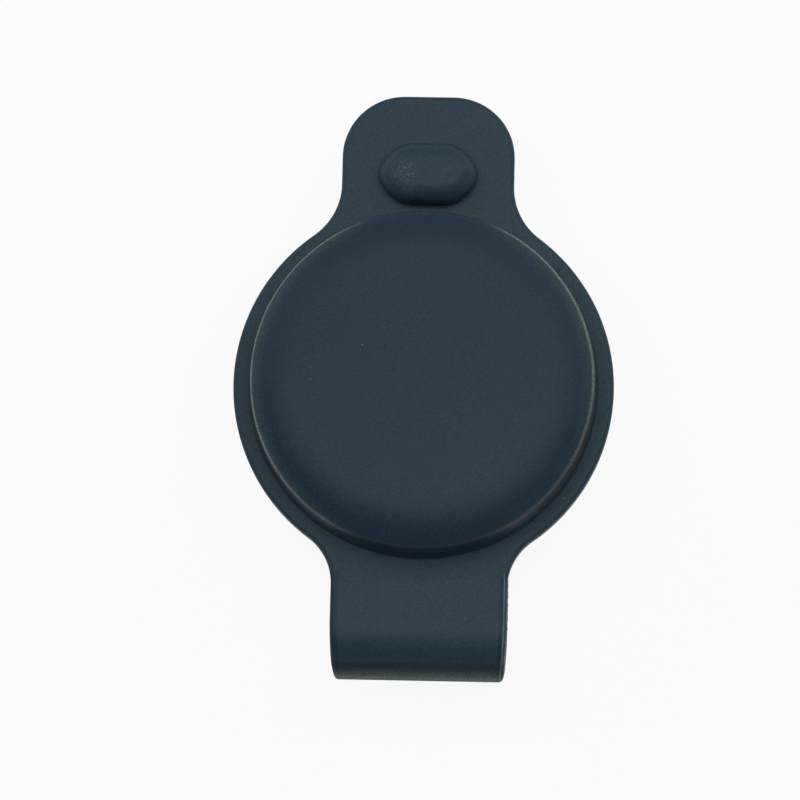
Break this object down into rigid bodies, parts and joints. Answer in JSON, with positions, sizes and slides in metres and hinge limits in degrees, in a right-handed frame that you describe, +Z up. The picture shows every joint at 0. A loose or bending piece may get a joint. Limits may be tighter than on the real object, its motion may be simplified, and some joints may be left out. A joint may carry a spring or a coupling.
{
  "type": "tracker tag holder",
  "caption": "Silicone holder for a coin-shaped tracker tag: a domed pocket on a strap that folds round a webbing loop and buttons through a slotted tab.",
  "frame": {"origin": "on the flap's outer face, under the middle of the round pocket, in the plane that the part lies on", "axes": "+X across the strap to the right, +Y along the strap towards the tab and button, +Z up through the pocket's domed roof"},
  "size_m": [0.038, 0.0585, 0.0163],
  "materials": {
    "silicone": "matte, finely grained",
    "tag_white": "gloss",
    "antenna_plastic": "satin",
    "copper": "satin",
    "magnet": "nickel plated",
    "plated_steel": "satin",
    "circuit_laminate": "satin",
    "chip_resin": "matte",
    "cell_filling": "matte",
    "gasket": "matte",
    "polished_steel": "polished"
  },
  "bodies": {
    "flap": {"back_flap": "silicone", "button_neck": "silicone", "button_head": "silicone"},
    "front": {"front_shell": "silicone", "pocket_lip": "silicone", "fold_hinge": "silicone"},
    "tag": {"tag_shell": "tag_white", "antenna_ring": "antenna_plastic", "antenna_traces": "copper", "voice_coil": "copper", "speaker_magnet": "magnet", "magnet_yoke": "plated_steel", "circuit_board": "circuit_laminate", "radio_shield": "plated_steel", "board_chips": "chip_resin", "battery_tray": "tag_white", "negative_contact": "plated_steel", "positive_contacts": "plated_steel", "cell_can": "plated_steel", "cell_core": "cell_filling", "cell_gasket": "gasket", "cell_cap": "plated_steel"},
    "cover": {"cover_seal": "gasket", "cover_ring": "tag_white", "battery_cover": "polished_steel"}
  },
  "joints": [
    {"name": "front_open", "type": "hinge", "parent": "flap", "child": "front", "pos_m": [0, -0.02789, 0.00535], "axis": [1, 0, 0], "range_deg": [0, 110], "deforming": ["fold_hinge", "button_head"]},
    {"name": "tag_out", "type": "slide", "parent": "front", "child": "tag", "axis": [0, 0, -1], "range_m": [0, 0.0122], "deforming": ["pocket_lip"]},
    {"name": "cover_turn", "type": "hinge", "parent": "tag", "child": "cover", "pos_m": [0, 0, 0.0085], "axis": [0, 0, -1], "range_deg": [0, 20]}
  ],
  "couplings": [
    {"joint": "tag_out", "follows": "front_open", "m_per_rad": 0.00625}
  ]
}
